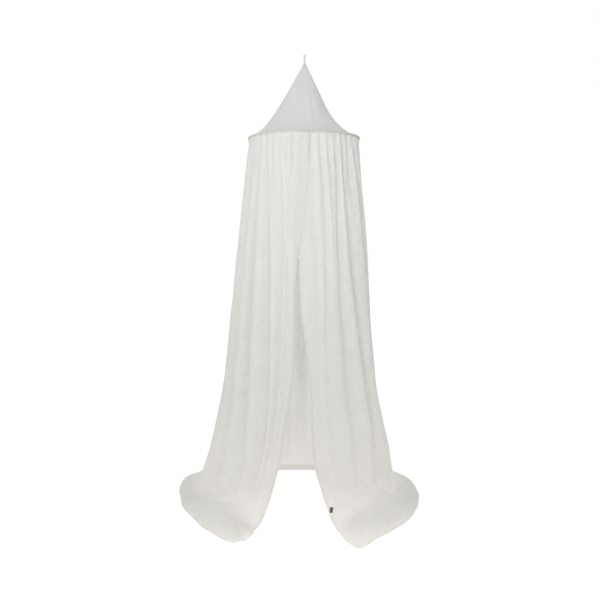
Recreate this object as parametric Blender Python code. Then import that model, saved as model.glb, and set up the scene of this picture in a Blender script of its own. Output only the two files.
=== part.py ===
"""A mosquito net canopy with its hoop: a cone roof and a long gathered wall of thin cotton.

The wall is one sheet. It hangs from the hoop in pleats that run together into fewer, larger folds,
parts in a slit at the front, hangs to the floor at the back, and ends in two rounded feet of cloth
on the floor in front, with its hem tucked under them.

Metres, +Z up. The origin is the top of the hanging loop's eye, where a ceiling hook bears. The slit
faces -Y. Directions round the canopy are in degrees from the front, first to the viewer's left (-X),
then the back, then the right. A height is measured up from the floor.
"""

import math

import bpy
import numpy as np

# Heights and the hoop.
HOOP_HEIGHT = 1.61          # hoop's middle above the floor
ROOF_RISE = 0.336           # from the hoop up to the roof's tip
LOOP_RISE = 0.046           # from the roof's tip up to the top of the loop's eye
HOOP_RADIUS = 0.25
ROD_RADIUS = 0.003
HOOP_Z = -(ROOF_RISE + LOOP_RISE)
FLOOR_Z = HOOP_Z - HOOP_HEIGHT
RING_STEPS = 64
ROD_STEPS = 8

# The pieces that are sewn together keep this gap.
SEAM_GAP = 0.0004

# The casing: a strip bent round the rod, with its open seam towards the middle of the hoop.
CASING_THICKNESS = 0.0016
CASING_RADIUS = 0.0046
CASING_HALF_TURN = 165.0    # degrees from the outer side, each way
CASING_STEPS = 8

# The roof.
ROOF_THICKNESS = 0.0016
ROOF_TIP_RADIUS = 0.0061
ROOF_STRAIGHT = 0.176       # part of the radius that runs straight to the tip
ROOF_FLARE = 0.074          # part that spreads out near the hoop
ROOF_FLARE_POWER = 8
ROOF_FOOT_TURN = 105.0      # where the roof meets the casing, from outward round over the top
ROOF_COLUMNS = 44
ROOF_ROWS = 9
ROOF_ROW_CROWDING = 1.2     # above 1, the rows lie closer together towards the hoop

# The hanging loop: tape across X, looped in the YZ plane.
TAPE_WIDTH = 0.009
TAPE_THICKNESS = 0.0012
TAPE_TAIL = 0.014           # how far its two ends reach down into the roof
TAPE_TAIL_HALF_GAP = 0.0012
TAPE_TAIL_STEPS = 2
EYE_HALF_WIDTH = 0.0046
EYE_OPENS_BY = 0.6          # part of the loop's straight height by which the eye has its full width
EYE_SIDE_STEPS = 6
EYE_ARC_STEPS = 6

# The wall.
CLOTH_THICKNESS = 0.002
COLUMNS_PER_FOLD = 6
EDGE_LAP = 0.005            # each front edge stands this far out or in where the two overlap
LAP_LOWEST = 0.95           # below this height the edges have parted and the lap is gone
LAP_HIGHEST = 1.25
LAP_SPREAD = 28.0           # degrees over which the lap fades away round the hoop
EDGE_PULL_SPREAD = 95.0     # degrees over which the cloth gives way to a drawn-back front edge
LEFT_EDGE_AT_HOOP = -6.0
RIGHT_EDGE_AT_HOOP = 364.6

# Radius of the hanging wall from the hoop's axis, in four directions.
WALL_RADIUS = (
    # height, left, right, front, back
    (1.610, 0.250, 0.250, 0.250, 0.250),
    (1.330, 0.273, 0.262, 0.260, 0.262),
    (1.090, 0.292, 0.274, 0.264, 0.272),
    (0.840, 0.311, 0.282, 0.268, 0.280),
    (0.600, 0.331, 0.295, 0.272, 0.287),
    (0.430, 0.354, 0.315, 0.276, 0.292),
    (0.350, 0.373, 0.336, 0.280, 0.295),
    (0.270, 0.396, 0.357, 0.286, 0.297),
    (0.200, 0.420, 0.374, 0.293, 0.299),
    (0.120, 0.452, 0.394, 0.305, 0.300),
)

# Where the two front edges hang.
FRONT_EDGES = (
    # height, left edge x, right edge x
    (1.610, 0.026, -0.020),
    (1.250, 0.006, -0.018),
    (1.080, -0.031, -0.014),
    (0.900, -0.035, 0.000),
    (0.740, -0.038, 0.015),
    (0.600, -0.043, 0.028),
    (0.470, -0.065, 0.030),
    (0.370, -0.080, 0.034),
    (0.230, -0.103, 0.052),
    (0.120, -0.128, 0.072),
)

# How far the folds stand out from the wall's mean surface, each way.
FOLD_SIZE = (
    # height, folds, pleats
    (1.610, 0.000, 0.0030),
    (1.540, 0.003, 0.0070),
    (1.400, 0.008, 0.0065),
    (1.150, 0.014, 0.0035),
    (0.850, 0.018, 0.0010),
    (0.580, 0.019, 0.0000),
    (0.380, 0.017, 0.0000),
    (0.240, 0.013, 0.0000),
    (0.120, 0.009, 0.0000),
)

# The valleys between the folds: their direction at the hoop, and how deep each is beside the rest.
FOLD_VALLEYS = (
    # direction, depth
    (LEFT_EDGE_AT_HOOP, 0.15), (6.5, 0.50), (20.0, 0.80), (39.5, 0.95), (62.0, 1.00), (83.0, 0.90),
    (99.0, 1.00), (114.5, 0.85), (130.0, 1.00), (146.0, 0.90), (162.0, 1.05), (178.0, 0.85),
    (193.5, 1.00), (209.0, 0.90), (225.0, 1.05), (240.5, 0.90), (256.0, 1.00), (272.0, 1.05),
    (291.0, 1.05), (311.5, 1.10), (329.0, 1.00), (349.0, 0.55), (RIGHT_EDGE_AT_HOOP, 0.15),
)

WALL_ROWS = (1.604, 1.545, 1.40, 1.15, 0.85, 0.58, 0.38, 0.24)

# The cloth below the wall. "out" is the way out from the wall to the foot's nose, from 0 to 1, and
# "height" is the foot's. "hem height" is the same row where the cloth only hangs to the floor. The
# last columns are the directions of the left and right front edges, and what is left of the folds.
FOOT_ROWS = (
    # out, height, hem height, left edge, right edge, folds
    (0.00, 0.1200, 0.1200, 24.5, 13.5, 1.00),
    (0.08, 0.0940, 0.0980, 25.5, 15.5, 0.75),
    (0.24, 0.0790, 0.0760, 26.0, 17.0, 0.50),
    (0.48, 0.0700, 0.0540, 25.5, 17.5, 0.30),
    (0.72, 0.0600, 0.0360, 24.5, 17.5, 0.18),
    (0.91, 0.0440, 0.0220, 24.0, 18.0, 0.08),
    (1.00, 0.0210, 0.0120, 24.5, 19.0, 0.00),
    (0.97, 0.0050, 0.0070, 25.0, 19.5, 0.00),
    (0.84, 0.0010, 0.0045, 25.5, 20.0, 0.00),
    (0.62, 0.0010, 0.0035, 26.0, 20.5, 0.00),
    (0.40, 0.0010, 0.0025, 26.0, 20.5, 0.00),
)

# The feet's outline on the floor, and how much of the cloth lies down in each direction, from 0,
# where it only hangs, to 1.
FEET = (
    # direction, reach from the axis, lying
    (14.0, 0.490, 1.0), (21.0, 0.500, 1.0), (25.0, 0.538, 1.0), (30.0, 0.566, 1.0),
    (40.0, 0.558, 1.0), (50.0, 0.545, 1.0), (59.0, 0.538, 1.0), (68.0, 0.549, 1.0),
    (79.0, 0.550, 1.0), (90.0, 0.568, 1.0), (97.0, 0.566, 0.98), (104.0, 0.540, 0.85),
    (114.0, 0.480, 0.45), (126.0, 0.420, 0.12), (138.0, 0.370, 0.0), (222.0, 0.340, 0.0),
    (234.0, 0.380, 0.12), (246.0, 0.430, 0.45), (256.0, 0.475, 0.85), (263.0, 0.500, 0.98),
    (271.0, 0.510, 1.0), (282.0, 0.513, 1.0), (300.0, 0.514, 1.0), (318.0, 0.528, 1.0),
    (331.0, 0.552, 1.0), (338.5, 0.575, 1.0), (342.0, 0.520, 1.0), (347.0, 0.490, 1.0),
)
HEAPED_BY = 0.25            # part of a foot's rows by which the cloth stands at its full height
FOLDS_LIE_BY = 0.33         # part of the way out by which the folds stand up instead of out
LYING_FOLD_HEIGHT = 0.6     # how high the folds stand there, beside how far they stand out above
FOOT_EDGE_HEIGHT = 0.25     # the foot's height at its inner edge, beside its middle
FOOT_EDGE_SPREAD = 9.0      # degrees from the inner edge over which it rises, in a quarter round
FOOT_SWELL = 0.16           # how unevenly the cloth heaps up, each way
FOOT_SWELLS = 10            # heaps in a full turn, one of them at each side
REACH_SWELL = 0.003         # how far the folds push the foot's outline out

# The blank label, flat on the right foot beside its inner edge.
LABEL_WIDTH = 0.012
LABEL_LENGTH = 0.026
LABEL_THICKNESS = 0.0008
LABEL_ROW = 9               # the row of the wall above it, counted from 0 at the hoop
LABEL_ROW_SHARE = 0.60      # how far its middle lies down towards the next row
LABEL_COLUMN = 0            # the column on its inner side, counted from the right front edge


def clear_scene():
    for obj in list(bpy.data.objects):
        bpy.data.objects.remove(obj, do_unlink=True)


def make_material(name, color, roughness, metallic=0.0):
    material = bpy.data.materials.new(name)
    material.use_nodes = True
    shader = material.node_tree.nodes["Principled BSDF"]
    shader.inputs["Base Color"].default_value = (*color, 1.0)
    shader.inputs["Roughness"].default_value = roughness
    shader.inputs["Metallic"].default_value = metallic
    material.diffuse_color = (*color, 1.0)
    return material


def ease(share):
    """0 to 1 with level ends."""
    share = np.clip(share, 0.0, 1.0)
    return share * share * (3.0 - 2.0 * share)


def read_table(table, column, at):
    """A table's column, read at values of its first column. The table may run up or down."""
    rows = np.array(sorted(table))
    return np.interp(at, rows[:, 0], rows[:, column])


def grid_triangles(rows, columns, closed):
    """Two triangles for each cell of a grid of points. A closed grid joins its last column to its first."""
    row, column = np.meshgrid(np.arange(rows - 1), np.arange(columns - (not closed)), indexing="ij")
    following = (column + 1) % columns
    a = row * columns + column
    b = row * columns + following
    c = (row + 1) * columns + following
    d = (row + 1) * columns + column
    first = np.stack([a, d, c], axis=-1).reshape(-1, 3)
    second = np.stack([a, c, b], axis=-1).reshape(-1, 3)
    return np.concatenate([first, second])


def add_sheet(name, points, thickness, material, closed=False):
    """One sheet of cloth from a grid of points on its middle surface, given its thickness by Solidify."""
    rows, columns = points.shape[:2]
    mesh = bpy.data.meshes.new(name)
    faces = grid_triangles(rows, columns, closed)
    mesh.from_pydata(points.reshape(-1, 3).tolist(), [], faces.tolist())
    mesh.materials.append(material)
    mesh.shade_smooth()
    obj = bpy.data.objects.new(name, mesh)
    bpy.context.scene.collection.objects.link(obj)
    solidify = obj.modifiers.new("Thickness", "SOLIDIFY")
    solidify.thickness = thickness
    solidify.offset = 0.0
    solidify.use_even_offset = True
    return obj


def ring_directions(count):
    """Evenly spaced directions round the hoop, in radians."""
    return np.arange(count) * 2.0 * math.pi / count


def turned(radius, direction, z):
    """Points at a radius and a direction round the axis, at height z. The three broadcast together."""
    radius, direction, z = np.broadcast_arrays(radius, direction, z)
    return np.stack([-radius * np.sin(direction), -radius * np.cos(direction), z], axis=-1)


def make_hoop(material):
    """The rod, bent to a ring."""
    bpy.ops.mesh.primitive_torus_add(
        major_radius=HOOP_RADIUS, minor_radius=ROD_RADIUS,
        major_segments=RING_STEPS, minor_segments=ROD_STEPS, location=(0.0, 0.0, HOOP_Z),
    )
    hoop = bpy.context.object
    hoop.name = "hoop"
    hoop.data.materials.append(material)
    hoop.data.shade_smooth()


def make_hoop_casing(material):
    """A strip bent round the rod: over its top, down its outside and under it, to a seam on the inside."""
    bend = np.radians(np.linspace(CASING_HALF_TURN, -CASING_HALF_TURN, CASING_STEPS + 1))[:, None]
    radius = HOOP_RADIUS + CASING_RADIUS * np.cos(bend)
    z = HOOP_Z + CASING_RADIUS * np.sin(bend)
    points = turned(radius, ring_directions(RING_STEPS)[None, :], z)
    add_sheet("hoop_casing", points, CASING_THICKNESS, material, closed=True)


def roof_radius(share):
    """The roof's radius at a share of its height: a straight cone that flares out to the hoop."""
    left = 1.0 - share
    return ROOF_TIP_RADIUS * share + ROOF_STRAIGHT * left + ROOF_FLARE * left**ROOF_FLARE_POWER


def make_roof(material):
    """The cone, from its tip down to where it is sewn to the casing."""
    clear = CASING_RADIUS + (CASING_THICKNESS + ROOF_THICKNESS) / 2 + SEAM_GAP
    foot_turn = math.radians(ROOF_FOOT_TURN)
    foot_z = HOOP_Z + clear * math.sin(foot_turn)
    foot_in = -clear * math.cos(foot_turn)
    share = np.linspace(1.0, 0.0, ROOF_ROWS)[:, None] ** ROOF_ROW_CROWDING
    radius = roof_radius(share) - foot_in * (1.0 - share)
    z = foot_z + (-LOOP_RISE - foot_z) * share
    points = turned(radius, ring_directions(ROOF_COLUMNS)[None, :], z)
    add_sheet("roof", points, ROOF_THICKNESS, material, closed=True)


def loop_path():
    """The tape's middle line in the YZ plane: up from inside the roof, over the eye and down again."""
    arc_centre = TAPE_THICKNESS / 2 - EYE_HALF_WIDTH
    tail_z = np.linspace(-TAPE_TAIL, 0.0, TAPE_TAIL_STEPS, endpoint=False) - LOOP_RISE
    side = np.linspace(0.0, 1.0, EYE_SIDE_STEPS, endpoint=False)
    side_y = TAPE_TAIL_HALF_GAP + (EYE_HALF_WIDTH - TAPE_TAIL_HALF_GAP) * ease(side / EYE_OPENS_BY)
    side_z = -LOOP_RISE + side * (LOOP_RISE + arc_centre)
    tail = np.stack([np.full_like(tail_z, TAPE_TAIL_HALF_GAP), tail_z], axis=-1)
    up = np.concatenate([tail, np.stack([side_y, side_z], axis=-1)])
    turn = np.linspace(0.0, math.pi, EYE_ARC_STEPS + 1)
    arc = np.stack([EYE_HALF_WIDTH * np.cos(turn), arc_centre + EYE_HALF_WIDTH * np.sin(turn)], axis=-1)
    return np.concatenate([up, arc, up[::-1] * (-1.0, 1.0)])


def make_hanging_loop(material):
    path = loop_path()
    across = np.array([TAPE_WIDTH / 2, -TAPE_WIDTH / 2])
    points = np.empty((len(path), 2, 3))
    points[..., 0] = across[None, :]
    points[..., 1:] = path[:, None, :]
    add_sheet("hanging_loop", points, TAPE_THICKNESS, material)


def wall_columns():
    """Each column's direction at the hoop, its place in the run of folds and its depth."""
    valleys = np.array(FOLD_VALLEYS)
    place = np.arange((len(valleys) - 1) * COLUMNS_PER_FOLD + 1) / COLUMNS_PER_FOLD
    known = np.arange(len(valleys))
    return np.interp(place, known, valleys[:, 0]), place, np.interp(place, known, valleys[:, 1])


def drawn_direction(direction, left_edge, right_edge):
    """Columns' directions once the front edges are drawn back, which moves the cloth beside them too."""
    from_left = ease(1.0 - (direction - LEFT_EDGE_AT_HOOP) / EDGE_PULL_SPREAD)
    from_right = ease(1.0 - (RIGHT_EDGE_AT_HOOP - direction) / EDGE_PULL_SPREAD)
    left_pull = (left_edge - LEFT_EDGE_AT_HOOP) * from_left
    right_pull = (right_edge - RIGHT_EDGE_AT_HOOP) * from_right
    return direction + left_pull + right_pull


def wall_radius(direction, height):
    """The wall's mean radius: its four table columns, shared out by direction."""
    side = np.sin(np.radians(direction)) ** 2
    to_left = np.sin(np.radians(direction)) > 0
    to_front = np.cos(np.radians(direction)) > 0
    left, right, front, back = (read_table(WALL_RADIUS, column, height) for column in (1, 2, 3, 4))
    return np.where(to_left, left, right) * side + np.where(to_front, front, back) * (1.0 - side)


def edge_lap(direction, height):
    """Where the front edges overlap, the left one lies outside and the right one inside."""
    near_left = ease(1.0 - (direction - LEFT_EDGE_AT_HOOP) / LAP_SPREAD)
    near_right = ease(1.0 - (RIGHT_EDGE_AT_HOOP - direction) / LAP_SPREAD)
    strength = ease((height - LAP_LOWEST) / (LAP_HIGHEST - LAP_LOWEST))
    return EDGE_LAP * strength * (near_left - near_right)


def hanging_rows():
    """The wall's rows from the hoop down to where the feet begin."""
    direction, place, depth = (values[None, :] for values in wall_columns())
    height = np.array(WALL_ROWS)[:, None]
    front = read_table(WALL_RADIUS, 3, height)
    left_edge = np.degrees(np.arcsin(-read_table(FRONT_EDGES, 1, height) / front))
    right_edge = 360.0 - np.degrees(np.arcsin(read_table(FRONT_EDGES, 2, height) / front))
    drawn = drawn_direction(direction, left_edge, right_edge)
    folds = -np.cos(2.0 * math.pi * place) * read_table(FOLD_SIZE, 1, height)
    pleats = -np.cos(4.0 * math.pi * place) * read_table(FOLD_SIZE, 2, height)
    radius = wall_radius(drawn, height) + depth * (folds + pleats) + edge_lap(direction, height)
    return turned(radius, np.radians(drawn), FLOOR_Z + height)


def lying_rows():
    """The rows below, from the hanging wall out over each foot, round its nose and back under it."""
    direction, place, depth = (values[None, :] for values in wall_columns())
    out, foot_height, hem_height, left_edge, right_edge, fold_share = (
        column[:, None] for column in np.array(FOOT_ROWS).T
    )
    drawn = drawn_direction(direction, left_edge, 360.0 - right_edge)
    lying = read_table(FEET, 2, drawn)
    wave = -np.cos(2.0 * math.pi * place) * depth
    reach = read_table(FEET, 1, drawn) + REACH_SWELL * wave
    top = foot_height[0]
    start = wall_radius(drawn, top)

    inner = np.minimum(drawn - left_edge, 360.0 - right_edge - drawn) / FOOT_EDGE_SPREAD
    quarter_round = np.sqrt(1.0 - (1.0 - np.clip(inner, 0.0, 1.0)) ** 2)
    rim = FOOT_EDGE_HEIGHT + (1.0 - FOOT_EDGE_HEIGHT) * quarter_round
    swell = 1.0 - FOOT_SWELL * np.cos(np.radians(drawn) * FOOT_SWELLS)
    heaped = foot_height * (1.0 + (rim * swell - 1.0) * ease(out / HEAPED_BY))
    tuck = foot_height.min()
    heaped = np.where(foot_height > tuck, np.maximum(heaped, tuck + 2.0 * CLOTH_THICKNESS), tuck)

    straight = wall_radius(drawn, hem_height)
    fold_size = read_table(FOLD_SIZE, 1, top) * fold_share * wave
    lies = lying * ease(out / FOLDS_LIE_BY)
    radius = straight + lying * (start + out * (reach - start) - straight) + fold_size * (1.0 - lies)
    height = hem_height + lying * (heaped - hem_height) + fold_size * lies * LYING_FOLD_HEIGHT
    return turned(radius, np.radians(drawn), FLOOR_Z + height)


def make_net_wall(material):
    points = np.concatenate([hanging_rows(), lying_rows()])
    add_sheet("net_wall", points, CLOTH_THICKNESS, material)
    return points


def make_label(material, wall_points):
    """A flat patch on the cell of the wall that carries it, lined up with that cell's columns."""
    rows = wall_points[LABEL_ROW:LABEL_ROW + 2, ::-1]
    inner, outer = rows[:, LABEL_COLUMN], rows[:, LABEL_COLUMN + 1]
    middle = (inner + outer) / 2
    down = middle[1] - middle[0]
    centre = middle[0] + down * LABEL_ROW_SHARE
    down /= np.linalg.norm(down)
    across = (outer - inner).sum(axis=0)
    across -= down * across.dot(down)
    across /= np.linalg.norm(across)
    out = np.cross(across, down)
    proud = max((corner - centre).dot(out) for corner in (*inner, *outer))
    centre += out * (proud + CLOTH_THICKNESS / 2 + SEAM_GAP + LABEL_THICKNESS / 2)
    along = down * LABEL_LENGTH / 2
    aside = across * LABEL_WIDTH / 2
    points = np.array([
        [centre - along - aside, centre - along + aside],
        [centre + along - aside, centre + along + aside],
    ])
    add_sheet("label", points, LABEL_THICKNESS, material)


def main():
    clear_scene()
    cloth = make_material("printed cotton voile", (0.70, 0.69, 0.66), 0.9)
    roof_cloth = make_material("cotton roof cloth", (0.68, 0.68, 0.66), 0.9)
    casing_cloth = make_material("rolled cotton casing", (0.52, 0.52, 0.49), 0.9)
    tape = make_material("woven cotton tape", (0.75, 0.74, 0.71), 0.85)
    rod = make_material("white plastic rod", (0.80, 0.80, 0.78), 0.4)
    dark = make_material("grey woven label", (0.25, 0.25, 0.25), 0.8)

    make_hanging_loop(tape)
    make_roof(roof_cloth)
    make_hoop(rod)
    make_hoop_casing(casing_cloth)
    wall_points = make_net_wall(cloth)
    make_label(dark, wall_points)


main()
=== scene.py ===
import math

import bpy
import numpy as np
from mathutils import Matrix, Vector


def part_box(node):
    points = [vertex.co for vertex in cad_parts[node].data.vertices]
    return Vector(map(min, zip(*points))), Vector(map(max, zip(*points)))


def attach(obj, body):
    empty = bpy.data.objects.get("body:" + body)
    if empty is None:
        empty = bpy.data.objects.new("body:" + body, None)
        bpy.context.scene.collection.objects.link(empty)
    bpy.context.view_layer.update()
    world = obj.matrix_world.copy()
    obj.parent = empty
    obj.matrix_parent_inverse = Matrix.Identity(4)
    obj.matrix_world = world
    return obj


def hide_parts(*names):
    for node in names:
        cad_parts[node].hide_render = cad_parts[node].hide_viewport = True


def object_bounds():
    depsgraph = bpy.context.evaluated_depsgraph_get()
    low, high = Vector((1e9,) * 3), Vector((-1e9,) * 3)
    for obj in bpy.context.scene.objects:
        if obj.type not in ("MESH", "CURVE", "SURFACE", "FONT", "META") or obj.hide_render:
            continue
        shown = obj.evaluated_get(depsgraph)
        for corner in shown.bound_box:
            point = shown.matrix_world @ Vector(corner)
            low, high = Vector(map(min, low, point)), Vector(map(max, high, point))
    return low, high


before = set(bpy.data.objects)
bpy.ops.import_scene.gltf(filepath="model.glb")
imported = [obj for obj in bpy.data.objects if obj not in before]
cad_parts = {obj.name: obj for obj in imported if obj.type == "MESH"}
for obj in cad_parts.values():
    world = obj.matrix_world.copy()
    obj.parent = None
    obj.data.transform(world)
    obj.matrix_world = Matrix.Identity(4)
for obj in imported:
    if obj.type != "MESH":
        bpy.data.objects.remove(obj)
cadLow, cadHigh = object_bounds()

# The mosquito net canopy: a cone roof and a long gathered wall of thin printed cotton on a hoop.
# Metres, +Z up, the slit towards -Y. Directions round the hoop's axis are in degrees from the front,
# first to the viewer's left, then the back, then the right. Heights are measured up from the floor.

hoopLow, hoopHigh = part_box("hoop")
hoopZ = (hoopLow[2] + hoopHigh[2]) / 2
rodRadius = (hoopHigh[2] - hoopLow[2]) / 2
hoopRadius = hoopHigh[0] - rodRadius
floorZ = cadLow[2]


# ---- small tools shared by the pieces

def ease(share):  # 0 to 1 with level ends
    share = np.clip(share, 0.0, 1.0)
    return share * share * (3.0 - 2.0 * share)


def smoothRead(known, values, at):
    # A smooth curve through the points (known, values) that never overshoots them: cubic pieces whose
    # slope at a point is the harmonic mean of the slopes either side, or level where those turn round.
    # Values may have more axes after the first, which are read together.
    known, values = np.asarray(known, float), np.asarray(values, float)
    order = np.argsort(known)
    known, values = known[order], values[order]
    spare = (1,) * (values.ndim - 1)
    step = np.diff(known)
    rise = np.diff(values, axis=0) / step.reshape((-1,) + spare)
    before, after = rise[:-1], rise[1:]
    onward = before * after > 0
    inner = np.where(onward, 2 * before * after / np.where(onward, before + after, 1), 0)
    slope = np.concatenate([rise[:1], inner, rise[-1:]])
    at = np.clip(at, known[0], known[-1])
    k = np.clip(np.searchsorted(known, at, side="right") - 1, 0, len(step) - 1)
    t = ((at - known[k]) / step[k]).reshape(at.shape + spare)
    width = step[k].reshape(at.shape + spare)
    return (values[k] * (1 + 2 * t) * (1 - t) ** 2 + slope[k] * width * t * (1 - t) ** 2
            + values[k + 1] * t * t * (3 - 2 * t) + slope[k + 1] * width * t * t * (t - 1))


def tableRead(table, column, at):  # a table's column, read smoothly at values of its first column
    rows = np.array(table)
    return smoothRead(rows[:, 0], rows[:, column], at)


def turned(radius, direction, z):
    # Points round the axis: x = -radius sin(direction), y = -radius cos(direction), at height z.
    radius, direction, z = np.broadcast_arrays(radius, np.radians(direction), z)
    return np.stack([-radius * np.sin(direction), -radius * np.cos(direction), z], axis=-1)


def softNoise(across, down, seed, waves=14, finest=1.0):
    # Even, repeatable unevenness of about +-1: a sum of sine waves with seeded headings and phases over
    # the two coordinates, each wave a little finer and weaker than the last.
    draw = np.random.default_rng(seed)
    total = 0.0
    for k in range(waves):
        pitch = 1.0 + (finest - 1.0) * k / waves
        heading = draw.uniform(0, 2 * math.pi)
        phase = draw.uniform(0, 2 * math.pi)
        wave = np.cos(heading) * across + np.sin(heading) * down
        total = total + np.sin(2 * math.pi * wave * pitch + phase) / pitch
    return total / math.sqrt(waves)


def gridNormals(points):
    # Unit normals of a grid: the cross product of its row-wise and column-wise differences.
    normal = np.cross(np.gradient(points, axis=0), np.gradient(points, axis=1))
    return normal / np.maximum(np.linalg.norm(normal, axis=-1, keepdims=True), 1e-12)


def alongColumns(points):  # cloth length down each column, from the top row
    steps = np.linalg.norm(np.diff(points, axis=0), axis=-1)
    return np.concatenate([np.zeros((1, points.shape[1])), np.cumsum(steps, axis=0)])


def addObject(name, data):
    placed = bpy.data.objects.new(name, data)
    bpy.context.scene.collection.objects.link(placed)
    return placed


def addGrid(name, points, maps, closed=False):
    # A mesh from a grid of points, with quads from row to row. maps gives each UV map's (u, v) grids,
    # in metres along the cloth. A closed grid's last column lies on its first.
    rows, columns = points.shape[:2]
    used = columns - 1 if closed else columns
    row, column = np.meshgrid(np.arange(rows - 1), np.arange(columns - 1), indexing="ij")
    corners = np.stack([np.stack([row, column], -1), np.stack([row + 1, column], -1),
                        np.stack([row + 1, column + 1], -1), np.stack([row, column + 1], -1)], axis=-2)
    corners = corners.reshape(-1, 4, 2)
    faces = corners[..., 0] * used + corners[..., 1] % used
    mesh = bpy.data.meshes.new(name)
    mesh.from_pydata(points[:, :used].reshape(-1, 3).tolist(), [], faces.tolist())
    for mapName, (u, v) in maps.items():
        layer = mesh.uv_layers.new(name=mapName)
        flat = np.stack(np.broadcast_arrays(u, v), -1)[corners[..., 0], corners[..., 1]]
        layer.data.foreach_set("uv", flat.reshape(-1).astype(np.float32))
    mesh.shade_smooth()
    return addObject(name, mesh)


def thicken(piece, thickness):
    solid = piece.modifiers.new("cloth thickness", "SOLIDIFY")
    solid.thickness = thickness
    solid.offset = 0.0


def dress(piece, material, node):
    # The piece takes its material, rides on the one body and stands for its CAD node.
    piece.data.materials.append(material)
    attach(piece, "root")
    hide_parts(node)


# ---- the camera, at the photograph's place

camera = {
    "x": -0.018,
    "distance": 3.0,           # in front of the hoop's axis
    "height": 1.16,
    "lens": 39.6,              # mm
    "frameWidth": 36.0,        # mm
    "frameShift": -0.103,      # the photograph's horizon lies above the middle of its frame
    "pixels": 600,             # across the picture
}


def addCamera():
    lens = bpy.data.cameras.new("camera")
    lens.lens, lens.sensor_width = camera["lens"], camera["frameWidth"]
    lens.shift_y = camera["frameShift"]
    holder = addObject("camera", lens)
    holder.location = (camera["x"], -camera["distance"], floorZ + camera["height"])
    holder.rotation_euler = (math.radians(90), 0, 0)
    bpy.context.scene.camera = holder


# ---- materials

def toLinear(hexColour):  # an sRGB hex colour as the linear colour that a shader takes
    parts = [int(hexColour[k:k + 2], 16) / 255 for k in (1, 3, 5)]
    return [p / 12.92 if p <= 0.04045 else ((p + 0.055) / 1.055) ** 2.4 for p in parts] + [1.0]


def addNode(tree, kind, inputs=None, **settings):
    # One shader node with its settings. An input takes a value, an output, or a node for its first output.
    node = tree.nodes.new("ShaderNode" + kind)
    for name, value in settings.items():
        setattr(node, name, value)
    for name, value in (inputs or {}).items():
        if isinstance(value, bpy.types.Node):
            value = value.outputs[0]
        if isinstance(value, bpy.types.NodeSocket):
            tree.links.new(value, node.inputs[name])
        else:
            node.inputs[name].default_value = value
    return node


def mixed(tree, share, first, second, way="MIX"):
    # One colour into another. A Mix node takes colours at its inputs 6 and 7 and gives one at output 2.
    mix = addNode(tree, "Mix", {0: share, 6: first, 7: second}, data_type="RGBA", blend_type=way)
    return mix.outputs[2]


def reckoned(tree, operation, *inputs):  # a Math node over one to three inputs
    return addNode(tree, "Math", dict(enumerate(inputs)), operation=operation)


def newTree(name):
    material = bpy.data.materials.new(name)
    material.use_nodes = True
    material.node_tree.nodes.clear()
    return material, material.node_tree


voile = {
    "spotSpacing": 0.054,      # m between the printed spots
    "spotRadius": 0.0033,
    "spotSizes": (0.75, 1.25),  # smallest and largest, against that radius
    "spotScatter": 0.82,       # 0 for a square lattice
    "raggedness": 0.0035,
    "rimSoftness": 0.3,        # part of the radius over which the ink runs out
    "inkCover": 0.62,          # how far the ink hides the ground
    "darkerTone": 0.965,       # the darker of the ground's two tones, against the lighter
    "threadPitch": 0.0016,     # the real 0.3 mm threads, drawn coarser so that they show
    "threadRelief": 0.05,      # against the crinkles
    "slub": 0.955,             # tone of the yarn's thick places, against the thin
    "slubs": ((420.0, 26.0, 1.0), (34.0, 330.0, 1.0)),  # to the metre, in yarns down and across
    "crinkle": 0.011,          # size of the soft crinkles left by washing
    "frontHem": (0.010, "#fcfcfb"),  # width, and the painted shade where the cloth lies double
    # the bottom hem: width, and the painted shade where it lies double
    "footHem": (0.026, "#f7f7f6"),
    "seamPlace": 0.86,         # part of a hem's width at which it is sewn
    "stitch": 0.0009,          # thread width in a hem's seam, drawn a little thick
    "stitchLength": 0.0032,
    "stitchShare": 0.72,       # the thread's part of that length, the rest being the needle's hole
    "seamSink": 0.6,           # against the crinkles
    "sheer": 0.68,             # share of the light that goes on through each face of a layer
}


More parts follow.
